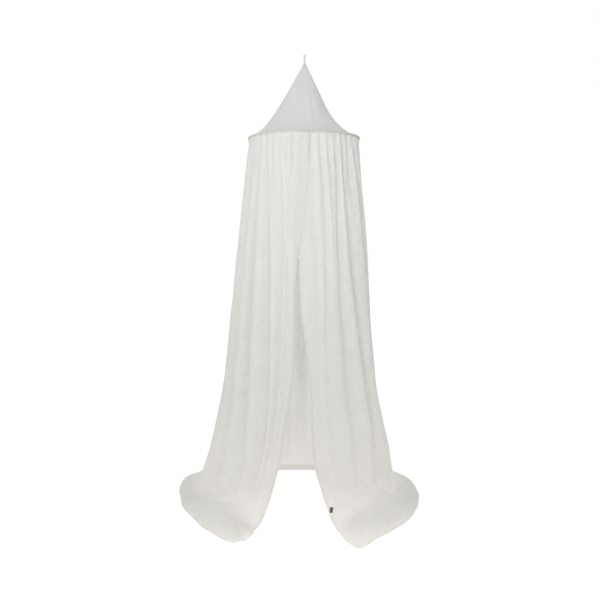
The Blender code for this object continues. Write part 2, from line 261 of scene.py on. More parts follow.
def voileCloth(name, ground, spot, seam, hemmed):
    # Cotton voile, plain woven, printed and washed: matt, a little uneven in tone, glowing softly where
    # light comes from behind. The spots are thin ink that has soaked in, so they keep the cloth's finish.
    material, tree = newTree(name)
    flat = addNode(tree, "UVMap", uv_map="cloth")

    # Spots: cells of a scattered pattern, inked near their centres, with slightly ragged rims.
    ragged = addNode(tree, "TexNoise", {"Vector": flat, "Scale": 170.0, "Detail": 1.0},
                     noise_dimensions="2D")
    ragged = addNode(tree, "VectorMath", {0: ragged.outputs["Color"], 1: (0.5, 0.5, 0.5)},
                     operation="SUBTRACT")
    ragged = addNode(tree, "VectorMath", {0: ragged, "Scale": voile["raggedness"]}, operation="SCALE")
    printed = addNode(tree, "VectorMath", {0: flat, 1: ragged}, operation="ADD")
    spots = addNode(tree, "TexVoronoi", {
        "Vector": printed, "Scale": 1 / voile["spotSpacing"], "Randomness": voile["spotScatter"],
    }, voronoi_dimensions="2D")
    small, large = voile["spotSizes"]
    size = addNode(tree, "SeparateColor", {"Color": spots.outputs["Color"]})  # each spot its own
    size = reckoned(tree, "MULTIPLY_ADD", size, large - small, small)
    reach = reckoned(tree, "DIVIDE", spots.outputs["Distance"], size)
    rim, soft = voile["spotRadius"] / voile["spotSpacing"], voile["rimSoftness"]
    ink = addNode(tree, "MapRange", {
        "Value": reach, "From Min": rim * (1 - soft), "From Max": rim * (1 + soft),
        "To Min": voile["inkCover"], "To Max": 0.0,
    })

    # Ground: a soft change of tone, the yarns' thick places, then the ink.
    tone = addNode(tree, "TexNoise", {"Vector": flat, "Scale": 11.0, "Detail": 3.0}, noise_dimensions="2D")
    light = toLinear(ground)
    dim = [c * voile["darkerTone"] for c in light[:3]] + [1.0]
    colour = mixed(tree, tone, dim, light)
    for stretch in voile["slubs"]:
        slubs = addNode(tree, "Mapping", {"Vector": flat, "Scale": stretch})
        slubs = addNode(tree, "TexNoise", {"Vector": slubs, "Scale": 1.0, "Detail": 2.0},
                        noise_dimensions="2D")
        slubs = addNode(tree, "MapRange", {"Value": slubs, "From Min": 0.3, "From Max": 0.7})
        shade = mixed(tree, slubs, [voile["slub"]] * 3 + [1.0], (1.0, 1.0, 1.0, 1.0))
        colour = mixed(tree, 1.0, colour, shade, "MULTIPLY")
    colour = mixed(tree, ink, colour, toLinear(spot))

    # Relief: threads both ways, and over them the crinkles.
    warp, weft = (addNode(tree, "TexWave", {
        "Vector": flat, "Scale": 0.5 / voile["threadPitch"], "Distortion": 0.6, "Detail Scale": 3.0,
    }, bands_direction=way) for way in "XY")
    threads = reckoned(tree, "ADD", warp.outputs["Fac"], weft.outputs["Fac"])
    crinkles = addNode(tree, "TexNoise", {"Vector": flat, "Scale": 1 / voile["crinkle"], "Detail": 3.0},
                       noise_dimensions="2D")
    relief = reckoned(tree, "MULTIPLY_ADD", threads, voile["threadRelief"], crinkles)

    if hemmed:
        # The second map gives the distance in from the front edge and up from the bottom edge.
        inward = addNode(tree, "SeparateXYZ", {"Vector": addNode(tree, "UVMap", uv_map="hem")}).outputs
        along = addNode(tree, "SeparateXYZ", {"Vector": flat}).outputs
        for fromEdge, run, hem in ((inward[0], along[1], "frontHem"), (inward[1], along[0], "footHem")):
            width, tone = voile[hem]
            # Painted shade: where a hem lies double, its colour is multiplied darker by the tone.
            paintedHemShade = reckoned(tree, "LESS_THAN", fromEdge, width)
            colour = mixed(tree, paintedHemShade, colour, toLinear(tone), "MULTIPLY")
            onLine = reckoned(tree, "COMPARE", fromEdge, width * voile["seamPlace"], voile["stitch"] / 2)
            beat = reckoned(tree, "MULTIPLY", run, 1 / voile["stitchLength"])
            beat = reckoned(tree, "FRACT", beat)
            beat = reckoned(tree, "LESS_THAN", beat, voile["stitchShare"])
            stitches = reckoned(tree, "MULTIPLY", onLine, beat)
            colour = mixed(tree, stitches, colour, toLinear(seam))
            relief = reckoned(tree, "MULTIPLY_ADD", stitches, -voile["seamSink"], relief)

    bump = addNode(tree, "Bump", {"Height": relief, "Distance": 0.0012, "Strength": 0.35})
    front = addNode(tree, "BsdfPrincipled", {
        "Base Color": colour, "Roughness": 0.92, "Specular IOR Level": 0.25, "Sheen Weight": 0.12,
        "Sheen Roughness": 0.5, "Normal": bump,
    })
    through = addNode(tree, "BsdfTranslucent", {"Color": colour, "Normal": bump})
    both = addNode(tree, "MixShader", {0: voile["sheer"], 1: front, 2: through})
    addNode(tree, "OutputMaterial", {"Surface": both})
    return material


def wovenTape(name, ground, shade, pitch):
    # Narrow herringbone cotton tape: a close, firm weave, matt, its threads just visible as fine ribs.
    material, tree = newTree(name)
    flat = addNode(tree, "UVMap", uv_map="cloth")
    ribs = addNode(tree, "TexWave", {
        "Vector": flat, "Scale": 0.5 / pitch, "Distortion": 0.8, "Detail Scale": 2.0,
    }, bands_direction="DIAGONAL").outputs["Fac"]
    # Painted shade: the grooves between the ribs, low in the bump, take the darker colour.
    colour = mixed(tree, ribs, toLinear(shade), toLinear(ground))
    bump = addNode(tree, "Bump", {"Height": ribs, "Distance": 0.0003, "Strength": 0.5})
    front = addNode(tree, "BsdfPrincipled", {
        "Base Color": colour, "Roughness": 0.85, "Specular IOR Level": 0.3, "Normal": bump,
    })
    addNode(tree, "OutputMaterial", {"Surface": front})
    return material


def extrudedRod(name, ground):
    # Extruded white plastic rod, semi-matt, with faint unevenness from handling.
    material, tree = newTree(name)
    place = addNode(tree, "TexCoord").outputs["Object"]
    scuffs = addNode(tree, "TexNoise", {"Vector": place, "Scale": 60.0, "Detail": 4.0})
    rough = addNode(tree, "MapRange", {"Value": scuffs, "To Min": 0.35, "To Max": 0.55})
    front = addNode(tree, "BsdfPrincipled", {
        "Base Color": toLinear(ground), "Roughness": rough, "IOR": 1.49,
    })
    addNode(tree, "OutputMaterial", {"Surface": front})
    return material


# ---- the wall: one gathered sheet from its left front edge round the back to its right front edge

wall = {
    "columnsPerFold": 14,
    "thickness": 0.0008,
    "flatWidth": 2.80,         # what gathers into the hoop's 1.57 m
    "topHeight": 1.6072,
    "rows": ((1.50, 12), (0.30, 50), (0.12, 11)),  # height that each run of rows ends at, and its rows
    "radius": (                # height, and the mean radius at the left, right, front and back
        (1.610, 0.2510, 0.2510, 0.2544, 0.2544), (1.575, 0.2460, 0.2420, 0.2508, 0.2498),
        (1.530, 0.2490, 0.2425, 0.2515, 0.2515), (1.446, 0.2570, 0.2465, 0.2560, 0.2570),
        (1.330, 0.2680, 0.2530, 0.2600, 0.2620), (1.196, 0.2795, 0.2635, 0.2625, 0.2680),
        (1.090, 0.2900, 0.2665, 0.2640, 0.2720), (0.878, 0.3103, 0.2745, 0.2675, 0.2790),
        (0.696, 0.3280, 0.2882, 0.2705, 0.2840), (0.515, 0.3475, 0.3077, 0.2745, 0.2895),
        (0.333, 0.3845, 0.3440, 0.2810, 0.2955), (0.219, 0.4155, 0.3720, 0.2915, 0.2985),
        (0.174, 0.4290, 0.3790, 0.2970, 0.2995), (0.120, 0.4480, 0.3910, 0.3050, 0.3000),
    ),
    "folds": (                 # height, and how far folds and pleats stand out each way
        (1.610, 0.000, 0.0012), (1.575, 0.001, 0.0052), (1.540, 0.003, 0.0064), (1.400, 0.008, 0.0046),
        (1.300, 0.011, 0.0028), (1.150, 0.014, 0.0014), (0.850, 0.018, 0.0004), (0.580, 0.019, 0.0000),
        (0.380, 0.017, 0.0000), (0.240, 0.013, 0.0000), (0.120, 0.009, 0.0000),
    ),
    "valleys": (               # direction at the hoop of each valley, and its depth high, halfway and low
        (-6.0, 0.10, 0.10, 0.10), (11.5, 0.16, 0.14, 0.14), (25.9, 0.32, 0.32, 0.28),
        (41.0, 0.70, 0.70, 0.65), (51.0, 0.80, 0.95, 0.90), (66.0, 0.90, 0.90, 0.90),
        (83.0, 0.90, 0.90, 0.90), (99.0, 1.00, 1.00, 1.00), (114.5, 0.85, 0.85, 0.85),
        (130.0, 1.00, 1.00, 1.00), (146.0, 0.90, 0.90, 0.90), (162.0, 1.05, 1.05, 1.05),
        (178.0, 0.85, 0.85, 0.85), (193.5, 1.00, 1.00, 1.00), (209.0, 0.90, 0.90, 0.90),
        (225.0, 1.05, 1.05, 1.05), (240.5, 0.90, 0.90, 0.90), (256.0, 1.00, 1.00, 1.00),
        (272.0, 1.00, 1.00, 1.00), (288.0, 0.95, 0.95, 0.95), (303.5, 2.40, 1.60, 0.95),
        (318.0, 1.15, 1.10, 1.35), (329.0, 0.50, 0.62, 0.75), (345.0, 0.22, 0.26, 0.16),
        (353.0, 0.30, 0.12, 0.04), (364.6, 0.10, 0.10, 0.10),
    ),
    "depthHeights": (1.45, 0.95, 0.50),
    "paths": (                 # height, and the direction there of the first five valleys and the last six
        (1.610, -6.0, 11.5, 25.9, 41.0, 51.0, 303.5, 318.0, 329.0, 345.0, 353.0, 364.6),
        (1.540, -5.2, 12.0, 25.6, 40.8, 51.2, 301.5, 317.4, 328.4, 344.4, 352.8, 365.4),
        (1.400, -3.5, 13.0, 23.3, 38.9, 51.7, 297.0, 316.7, 327.2, 342.2, 352.1, 367.4),
        (1.250, -1.3, 13.8, 21.2, 36.6, 52.4, 292.5, 314.6, 327.2, 340.6, 351.1, 369.4),
        (1.160, 1.4, 14.8, 20.6, 35.8, 52.3, 289.5, 312.4, 326.7, 339.8, 350.4, 370.2),
        (1.110, 4.2, 15.1, 20.8, 35.6, 52.3, 288.0, 311.4, 326.3, 339.6, 349.9, 369.6),
        (1.070, 6.6, 15.2, 21.0, 35.5, 52.3, 286.8, 310.3, 325.9, 339.5, 349.4, 365.2),
        (1.030, 7.2, 15.3, 21.2, 35.4, 52.3, 285.8, 309.4, 325.5, 339.4, 348.8, 365.2),
        (0.900, 8.2, 15.8, 22.0, 34.9, 52.4, 283.0, 305.7, 323.7, 339.1, 347.6, 364.4),
        (0.740, 8.6, 16.0, 22.9, 34.3, 52.3, 281.0, 301.6, 320.5, 339.5, 347.6, 360.4),
        (0.600, 9.3, 16.6, 23.4, 33.3, 52.3, 279.5, 299.0, 318.7, 339.4, 347.2, 356.0),
        (0.470, 13.2, 18.8, 24.6, 32.8, 52.0, 278.5, 297.0, 317.0, 337.7, 345.8, 354.1),
        (0.370, 16.0, 21.2, 26.2, 33.4, 51.3, 278.5, 296.2, 315.9, 336.0, 345.2, 353.8),
        (0.230, 19.8, 24.9, 29.6, 36.0, 48.9, 280.0, 298.5, 316.0, 334.0, 343.2, 352.0),
        (0.120, 23.7, 28.4, 33.0, 39.0, 50.0, 281.5, 299.5, 316.5, 331.0, 338.5, 346.6),
    ),
    "stillPlaces": (10, 14),   # these valleys, and those between them, hang straight
    "pleatsLeft": (            # direction of each pleat's valley, and its depth
        (-6.0, 1.0), (3.0, 0.7), (11.5, 1.0), (18.5, 0.5), (25.9, 0.6), (32.8, 1.1), (40.5, 1.1),
        (50.0, 0.8), (59.0, 0.8), (68.0, 0.8), (77.0, 0.8),
    ),
    "pleatsRight": (
        (283.5, 0.8), (293.0, 0.9), (303.0, 1.3), (312.8, 1.7), (321.0, 1.35), (328.4, 0.4), (336.2, 0.9),
        (344.7, 0.5), (353.2, 0.25), (359.0, 0.3), (364.6, 1.0),
    ),
    "pleatPitch": 8.3,         # degrees between pleats round the back
    "pleatShift": 1.3,         # degrees that each stands off its even place there
    "pleatDepth": 0.9,
    "pleatUnevenness": 0.35,   # against their depth
    "pleatSharpness": 2.4,
    "crispness": (0.75, 0.45),  # of the pleats on the left, and how much more they have on the right
    "plainEdge": (7.0, 9.0),   # degrees beside a front edge without pleats, and over which they then grow
    "foldSharpness": 2.7,
    "foldLean": 0.05,          # of a fold's width
    "sway": 0.35,              # degrees
    "unevenness": 0.0011,
    "steadyEdge": 12.0,        # degrees beside a front edge over which all unevenness sets in
    "steadyTop": 0.35,         # and metres below the hoop
    "pullSpread": 95.0,        # degrees over which the cloth gives way to a drawn-back front edge
    "lap": (                   # height, and how far each front edge stands out or in of the mean
        (1.610, 0.0006), (1.400, 0.0007), (1.200, 0.0010), (1.100, 0.0011), (1.040, 0.0009),
        (0.900, 0.0000),
    ),
    "lapSpread": 28.0,
    "edgeRoll": 0.0024,
    "rollMiddle": 0.007,       # from the front edge
    "rollHalf": 0.0045,
    "rollFrom": 1.02,          # height below which they roll
    "rollGrows": 0.3,          # over this much height
}

# Below the wall: the way out over a foot, round its nose and back under it.
foot = {
    "rows": (                  # out, height, hem height, left edge, right edge, what is left of the folds
        (0.00, 0.1200, 0.1200, 23.7, 13.4, 1.00), (0.08, 0.0960, 0.0980, 24.4, 14.6, 0.75),
        (0.24, 0.0800, 0.0760, 25.8, 16.6, 0.50), (0.48, 0.0700, 0.0540, 27.1, 18.7, 0.30),
        (0.72, 0.0600, 0.0360, 25.6, 18.3, 0.18), (0.91, 0.0440, 0.0220, 25.4, 18.4, 0.08),
        (1.00, 0.0210, 0.0120, 26.0, 19.2, 0.00), (0.97, 0.0050, 0.0070, 27.0, 19.8, 0.00),
        (0.84, 0.0008, 0.0045, 28.0, 20.4, 0.00), (0.62, 0.0008, 0.0030, 28.5, 21.0, 0.00),
        (0.40, 0.0008, 0.0016, 28.5, 21.0, 0.00),
    ),
    "outline": (               # direction, reach from the axis, how much of the cloth lies down
        (16.0, 0.480, 1.0), (24.0, 0.497, 1.0), (25.5, 0.514, 1.0), (27.4, 0.545, 1.0), (29.0, 0.566, 1.0),
        (32.0, 0.571, 1.0), (38.6, 0.561, 1.0), (44.7, 0.554, 1.0), (51.0, 0.551, 1.0), (56.6, 0.542, 1.0),
        (62.7, 0.541, 1.0), (69.0, 0.547, 1.0), (76.0, 0.549, 1.0), (82.0, 0.553, 1.0), (90.0, 0.565, 1.0),
        (97.0, 0.566, 0.98), (104.0, 0.540, 0.85), (114.0, 0.480, 0.45), (126.0, 0.420, 0.12),
        (138.0, 0.370, 0.0), (222.0, 0.340, 0.0), (234.0, 0.380, 0.12), (246.0, 0.430, 0.45),
        (256.0, 0.470, 0.85), (263.0, 0.490, 0.98), (271.0, 0.505, 1.0), (280.0, 0.515, 1.0),
        (292.5, 0.516, 1.0), (299.0, 0.521, 1.0), (311.0, 0.526, 1.0), (318.0, 0.530, 1.0),
        (324.0, 0.537, 1.0), (329.0, 0.543, 1.0), (333.0, 0.561, 1.0), (337.5, 0.579, 1.0),
        (340.3, 0.564, 1.0), (341.5, 0.543, 1.0), (342.5, 0.512, 1.0), (347.0, 0.490, 1.0),
    ),
    "lyingRows": 67,
    "tuckedFrom": 6.5,         # line of the table below which the cloth is tucked under
    "leastHeap": 0.0025,       # of the cloth above what is tucked under it
    "leastHeapFrom": 0.004,    # where the table's height is this much above its lowest
    "foldSharpness": 2.4,
    "heapedBy": 0.25,          # part of the way out by which the swells stand at their full height
    "foldsLieBy": 0.33,        # part of the way out by which the folds stand up instead of out
    "lyingFoldHeight": 0.6,
    "edgeHeight": 0.05,        # of the inner edge, against the middle
    "edgeSpread": 15.0,        # degrees over which it rises from there
    "edgeLandsBy": 0.45,       # part of the way out by which that edge has come down to the floor
    "swell": 0.16,             # how far the heap's height goes up and down
    "swells": 10,              # round the whole circle
    "ripple": 0.0015,          # unevenness of the outline
}


def wallRadius(direction, height):
    # The mean radius: the four columns of the table, shared out by the squares of sine and cosine.
    side = np.sin(np.radians(direction)) ** 2
    left, right, front, back = (tableRead(wall["radius"], k, height) for k in (1, 2, 3, 4))
    acrossShare = ease(np.sin(np.radians(direction)) * 2 + 0.5)
    depthShare = ease(np.cos(np.radians(direction)) * 2 + 0.5)
    return ((right + (left - right) * acrossShare) * side
            + (back + (front - back) * depthShare) * (1 - side))


def foldShape(place, sharp):
    # -1 in each valley, at whole numbers, and +1 on each crest. The higher "sharp", the narrower the
    # valleys and the broader the crests: 1 - 2 |cos(pi place)|^sharp.
    return 1 - 2 * np.abs(np.cos(math.pi * place)) ** sharp


def pleatPlaces(direction):
    # Each column's place in the run of pleats, whole numbers in the valleys, and the pleat's depth: those
    # that show are in the dictionary, and those round the back are evenly spaced with a slight unevenness.
    left, right = np.array(wall["pleatsLeft"]), np.array(wall["pleatsRight"])
    between = round((right[0, 0] - left[-1, 0]) / wall["pleatPitch"])
    unseen = np.linspace(left[-1, 0], right[0, 0], between + 1)[1:-1]
    unseen += wall["pleatShift"] * np.sin(np.arange(len(unseen)) * 2.4)
    known = np.concatenate([left[:, 0], unseen, right[:, 0]])
    depth = np.concatenate([left[:, 1], np.full(len(unseen), wall["pleatDepth"]), right[:, 1]])
    read = smoothRead(known, np.stack([np.arange(len(known)), depth], axis=-1), direction)
    return read[..., 0], read[..., 1]


def wallColumns(height):
    # Each column's place in the run of folds, its direction at the hoop, and the depth of its valley,
    # which changes smoothly with the height.
    valleys = np.array(wall["valleys"])
    folds = len(valleys) - 1
    place = np.arange(folds * wall["columnsPerFold"] + 1) / wall["columnsPerFold"]
    columns = smoothRead(np.arange(folds + 1), valleys, place)
    depth = smoothRead(wall["depthHeights"], columns[:, 1:].T, height[:, 0])
    return place[None, :], columns[None, :, 0], depth


def foldPaths(height):
    # Where the columns hang at each height: their direction at the hoop, plus how far the nearest valleys
    # in the dictionary have turned from theirs, read smoothly from valley to valley.
    place, direction = wallColumns(height)[:2]
    paths = np.array(wall["paths"])
    last = len(wall["valleys"]) - 1
    moving = [0, 1, 2, 3, 4] + [last - k for k in (5, 4, 3, 2, 1, 0)]
    turnedBy = smoothRead(paths[:, 0], paths[:, 1:], height[:, 0]) - np.array(wall["valleys"])[moving, 0]
    known = moving + list(wall["stillPlaces"])
    turnedBy = np.concatenate([turnedBy, np.zeros((len(height), 2))], axis=1)
    return direction + smoothRead(known, turnedBy.T, place[0]).T


def hangingRows(height):
    # Radius = mean radius + folds + pleats + unevenness + lap; the columns' directions sway a little.
    place, direction, depth = wallColumns(height)
    first, last = direction[0, 0], direction[0, -1]
    steady = wall["steadyEdge"]
    free = ease((direction - first) / steady) * ease((last - direction) / steady)  # 0 at the front edges
    hung = ease((wall["topHeight"] - height) / wall["steadyTop"])                  # 0 at the hoop
    sway = softNoise(place / 5.0, height / 0.9, seed=3, waves=6, finest=1.6)
    drawn = foldPaths(height) + wall["sway"] * sway * free * hung
    foldSize = tableRead(wall["folds"], 1, height)
    pleatSize = tableRead(wall["folds"], 2, height)
    lean = wall["foldLean"] * np.sin(2 * math.pi * place)
    lean = lean * softNoise(place / 2.3, height / 1.4, seed=11, waves=5)
    folds = foldShape(place + lean * free, wall["foldSharpness"]) * foldSize * depth
    least, more = wall["crispness"]
    crisp = least + more * ease((direction - 180) / 120)
    pleatPlace, pleatDepth = pleatPlaces(direction)
    plain, grows = wall["plainEdge"]
    clearOfLap = ease((direction - first - plain) / grows) * ease((last - direction - plain) / grows)
    pleats = foldShape(pleatPlace, wall["pleatSharpness"]) * pleatDepth * pleatSize * crisp * clearOfLap
    pleats = pleats * (1 + wall["pleatUnevenness"] * softNoise(place / 1.7, height / 0.5, seed=5, waves=6))
    uneven = wall["unevenness"] * softNoise(place / 1.1, height / 0.35, seed=8, waves=12, finest=2.2)
    uneven = uneven * hung * free

    nearLeft = ease(1 - (direction - first) / wall["lapSpread"])
    nearRight = ease(1 - (last - direction) / wall["lapSpread"])
    lap = tableRead(wall["lap"], 1, height) * (nearLeft - nearRight)
    radius = wallRadius(drawn, height) + folds + pleats + uneven + lap
    return turned(radius, drawn, floorZ + height)


def lyingRows(step):
    # step runs down the lines of foot["rows"], from the wall to the tucked-under end. Where the cloth lies
    # down, the radius runs out from the wall to the foot's reach, and the height is the heap's.
    top, tuck = foot["rows"][0][1], foot["rows"][-1][1]
    place, direction, depth = wallColumns(np.full_like(step, top))
    known = np.arange(len(foot["rows"]))
    out, footHeight, hemHeight, leftEdge, rightEdge, foldShare = (
        column[:, None] for column in smoothRead(known, foot["rows"], step[:, 0]).T)
    hanging = foldPaths(np.array([[top]]))
    pullLeft = ease(1 - (direction - direction[0, 0]) / wall["pullSpread"])
    pullRight = ease(1 - (direction[0, -1] - direction) / wall["pullSpread"])
    drawn = hanging + (leftEdge - hanging[0, 0]) * pullLeft
    drawn = drawn + (360 - rightEdge - hanging[0, -1]) * pullRight
    lying = tableRead(foot["outline"], 2, drawn)
    wave = foldShape(place, foot["foldSharpness"]) * depth
    ripple = foot["ripple"] * softNoise(drawn / 17.0, out * 0.4, seed=21, waves=7, finest=2.4)
    reach = tableRead(foot["outline"], 1, drawn) + ripple
    start = wallRadius(drawn, np.full_like(step, top))

    inner = np.clip(np.minimum(drawn - leftEdge, 360 - rightEdge - drawn) / foot["edgeSpread"], 0, 1)
    rim = foot["edgeHeight"] + (1 - foot["edgeHeight"]) * (1 - (1 - inner) ** 2)
    swell = 1 - foot["swell"] * np.cos(np.radians(drawn) * foot["swells"])
    passed = np.maximum.accumulate(out / np.max(out), axis=0)  # goes on growing under the nose
    heaped = footHeight * (1 + (rim - 1) * ease(passed / foot["edgeLandsBy"]))
    heaped = heaped * (1 + (swell - 1) * ease(passed / foot["heapedBy"]))
    least = tuck + foot["leastHeap"] * ease((footHeight - tuck) / foot["leastHeapFrom"])
    heaped = np.maximum(heaped, least)

    straight = wallRadius(drawn, hemHeight)
    foldSize = tableRead(wall["folds"], 1, np.array(top)) * foldShare * wave
    lies = lying * ease(out / foot["foldsLieBy"])
    radius = straight + lying * (start + out * (reach - start) - straight) + foldSize * (1 - lies)
    height = hemHeight + lying * (heaped - hemHeight) + foldSize * lies * foot["lyingFoldHeight"]
    return turned(radius, drawn, floorZ + np.maximum(height, tuck))


# Creases that stay in the cloth where it lies on the floor, placed over the photograph: the
# picture's column and row at each bend of one, its depth in creasing["depthUnits"], and its half width in
# picture rows.
creasing = {
    "depthUnits": 740.0,       # to the metre
    "fades": 0.25,             # part of a crease's length over which each end fades out
    "leastFacing": 0.08,       # cosine between the cloth's normal and the way to the camera
    "facingGrows": 0.3,
    "leastForward": -0.3,      # cosine of the direction: no crease further back
}
creases = (
    (((387, 464), (388.5, 474), (392, 485), (398, 493), (406, 498)), 5.0, 2.2),
    (((399, 468), (403, 478), (409, 486), (413, 490)), -2.0, 2.6),
    (((382, 445), (380, 466), (376, 482), (368, 492)), 2.4, 2.4),
    (((346, 516), (353, 521), (361, 525)), 2.2, 1.8),
    (((364, 528), (367, 534), (367, 542)), 3.0, 2.0),
    (((372, 511), (384, 509), (395, 504)), 1.8, 2.0),
    (((352, 500), (364, 503), (378, 503)), 1.8, 2.4),
    (((400, 508), (396, 514), (388, 519)), 2.0, 1.8),
    (((336, 500), (341, 511), (349, 522)), 1.4, 1.8),
    (((211, 500), (224, 501), (238, 503), (252, 503)), 3.2, 2.2),
    (((221, 501), (224, 495), (229, 488)), 2.0, 1.8),
    (((184, 486), (192, 490), (203, 490)), 2.6, 2.2),
    (((187, 511), (195, 508), (205, 510)), 2.8, 2.0),
    (((196, 497), (206, 499), (214, 504)), 1.8, 2.2),
    (((243, 540), (241, 531), (236, 523)), 2.6, 1.8),
    (((216, 518), (226, 521), (236, 520)), 1.8, 2.0),
    (((204, 522), (212, 519), (221, 524)), 1.8, 1.8),
    (((259, 515), (254, 519), (248, 521)), 1.8, 1.8),
    (((198, 474), (205, 479), (208, 487)), 2.4, 2.2),
)


def creased(points):
    # Each crease is a soft trough, or a ridge where its depth is negative: points within reach of its
    # line, as the camera sees them, move in along the cloth's normal by depth exp(-(distance / half
    # width)^2), fading out at the line's ends, and only where the cloth faces the camera.
    eye = np.array([camera["x"], -camera["distance"], floorZ + camera["height"]])
    toEye = eye - points
    normals = gridNormals(points)
    faces = (normals * toEye).sum(-1) / np.linalg.norm(toEye, axis=-1)
    outward = np.sign(faces)
    pixels, middle = camera["pixels"], camera["pixels"] / 2
    scale = camera["lens"] / camera["frameWidth"] * pixels / (points[..., 1] + camera["distance"])
    column = middle + scale * (points[..., 0] - camera["x"])
    row = middle + pixels * camera["frameShift"] - scale * (points[..., 2] - eye[2])
    moved = np.zeros(points.shape[:2])
    for bends, depth, halfWidth in creases:
        bends = np.array(bends, float)
        lengths = np.linalg.norm(np.diff(bends, axis=0), axis=1)
        gone, nearest, along = 0.0, np.full(column.shape, np.inf), np.zeros(column.shape)
        for start, (runX, runY), length in zip(bends[:-1], np.diff(bends, axis=0), lengths):
            x, y = column - start[0], row - start[1]
            share = np.clip((x * runX + y * runY) / length ** 2, 0, 1)
            away = np.hypot(x - share * runX, y - share * runY)
            along = np.where(away < nearest, (gone + share * length) / lengths.sum(), along)
            nearest = np.minimum(nearest, away)
            gone += length
        fade = ease(along / creasing["fades"]) * ease((1 - along) / creasing["fades"])
        moved += depth / creasing["depthUnits"] * np.exp(-(nearest / halfWidth) ** 2) * fade
    moved *= ease((np.abs(faces) - creasing["leastFacing"]) / creasing["facingGrows"])
    return points - normals * (outward * moved)[..., None]


def rolledEdges(points, fromEdge, strength):
    # The front hems roll a little towards the viewer: points near an edge stand out along the cloth's
    # normal by edgeRoll exp(-((distance from the edge - rollMiddle) / rollHalf)^2).
    normals = gridNormals(points)
    normals = normals * np.sign(-normals[..., 1:2])
    roll = wall["edgeRoll"] * np.exp(-((fromEdge - wall["rollMiddle"]) / wall["rollHalf"]) ** 2)
    return points + normals * (roll * strength[:, None])[..., None]


def makeWall(material):
    starts = [wall["topHeight"]] + [height for height, rows in wall["rows"]]
    heights = np.concatenate([np.linspace(start, end, rows, endpoint=False)
                              for start, (end, rows) in zip(starts, wall["rows"])])
    steps = np.linspace(0, len(foot["rows"]) - 1, foot["lyingRows"])
    points = np.concatenate([hangingRows(heights[:, None]), lyingRows(steps[:, None])])
    place, direction = wallColumns(heights[:, None])[:2]
    inFront = np.cos(np.radians(direction)) > creasing["leastForward"]
    above = np.concatenate([heights > 0, steps < foot["tuckedFrom"]])  # the rows that aren't tucked under
    points = np.where((inFront & above[:, None])[..., None], creased(points), points)

    fromEdge = alongColumns(points.swapaxes(0, 1)).T  # cloth length along each row, from the left edge
    fromEdge = np.minimum(fromEdge, fromEdge[:, -1:] - fromEdge)
    rolled = ease((wall["rollFrom"] - np.concatenate([heights, 0 * steps])) / wall["rollGrows"])
    points = rolledEdges(points, fromEdge, rolled * above)

    across = place / place.max() * wall["flatWidth"]
    down = alongColumns(points)
    maps = {"cloth": (across, down), "hem": (fromEdge, down[-1:] - down)}
    piece = addGrid("canopyWall", points, maps)
    thicken(piece, wall["thickness"])
    dress(piece, material, "net_wall")
    return points


# ---- the roof: a cone that hangs from its tip and spreads out to the hoop

roof = {
    "rows": 72,
    "columns": 220,
    "thickness": 0.0007,
    "tipRadius": 0.0064,
    "straight": 0.1845,        # part of the radius that runs straight to the tip
    "flare": 0.0655,           # part that spreads out near the hoop
    "flarePower": 7.4,
    "slump": -0.008,           # the cone hangs a little to the viewer's left, most in its lower half
    "tipLean": 0.003,          # and its tip a little to the right
    "seamRise": 0.0012,        # where it is sewn to the casing: above the hoop's middle
    "seamIn": 0.0040,          # and inside it
    "tipFolds": 0.0006,        # 14 of them round the tip
    "waves": (0.0016, 0.0010),  # how high seven and four slow ones are, both most halfway up
    "pulls": 0.0009,           # 22 of them, where it is drawn to the casing
}


def makeRoof(material):
    # Radius = tip s + straight (1 - s) + flare (1 - s)^power - seam (1 - s) at a share s of the height,
    # with soft folds near the tip, slow waves, and pulls above the hoop.
    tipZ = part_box("roof")[1][2]
    share = (np.linspace(1, 0, roof["rows"]) ** 1.15)[:, None]
    direction = np.linspace(0, 360, roof["columns"] + 1)[None, :]
    left = 1 - share
    footZ = hoopZ + roof["seamRise"]
    radius = roof["tipRadius"] * share + roof["straight"] * left
    radius = radius + roof["flare"] * left ** roof["flarePower"] - roof["seamIn"] * left
    turn = np.radians(direction)
    folds = roof["tipFolds"] * np.cos(turn * 14 + 0.6 * np.sin(turn * 3)) * ease((share - 0.55) / 0.4)
    seven, four = roof["waves"]
    waves = seven * np.sin(turn * 7 + 1.1) * np.sin(math.pi * share)
    waves = waves + four * np.sin(turn * 4 + 2.2) * left * share
    pulls = roof["pulls"] * np.cos(turn * 22 + np.sin(turn * 5)) * ease(left / 0.5) * ease(share / 0.03)
    radius = radius + folds + waves + pulls
    points = turned(radius, direction, footZ + (tipZ - footZ) * share)
    points[..., 0] += roof["slump"] * np.sin(math.pi * left ** 2) + roof["tipLean"] * share ** 4
    down = alongColumns(points)
    around = turn * hoopRadius
    piece = addGrid("canopyRoof", points, {"cloth": (around, down)}, closed=True)
    thicken(piece, roof["thickness"])
    dress(piece, material, "roof")


# ---- the casing: cloth rolled and gathered round the hoop's rod

casing = {
    "columns": 640,
    "rows": 14,
    "radius": 0.0038,
    "halfTurn": 166.0,         # degrees from the outer side, each way
    "thickness": 0.0006,
    "gathers": 128,
    "gatherDepth": 0.00022,
    "unevenness": (0.00012, 0.00010),  # slow waves, 17 and 29 of them
}


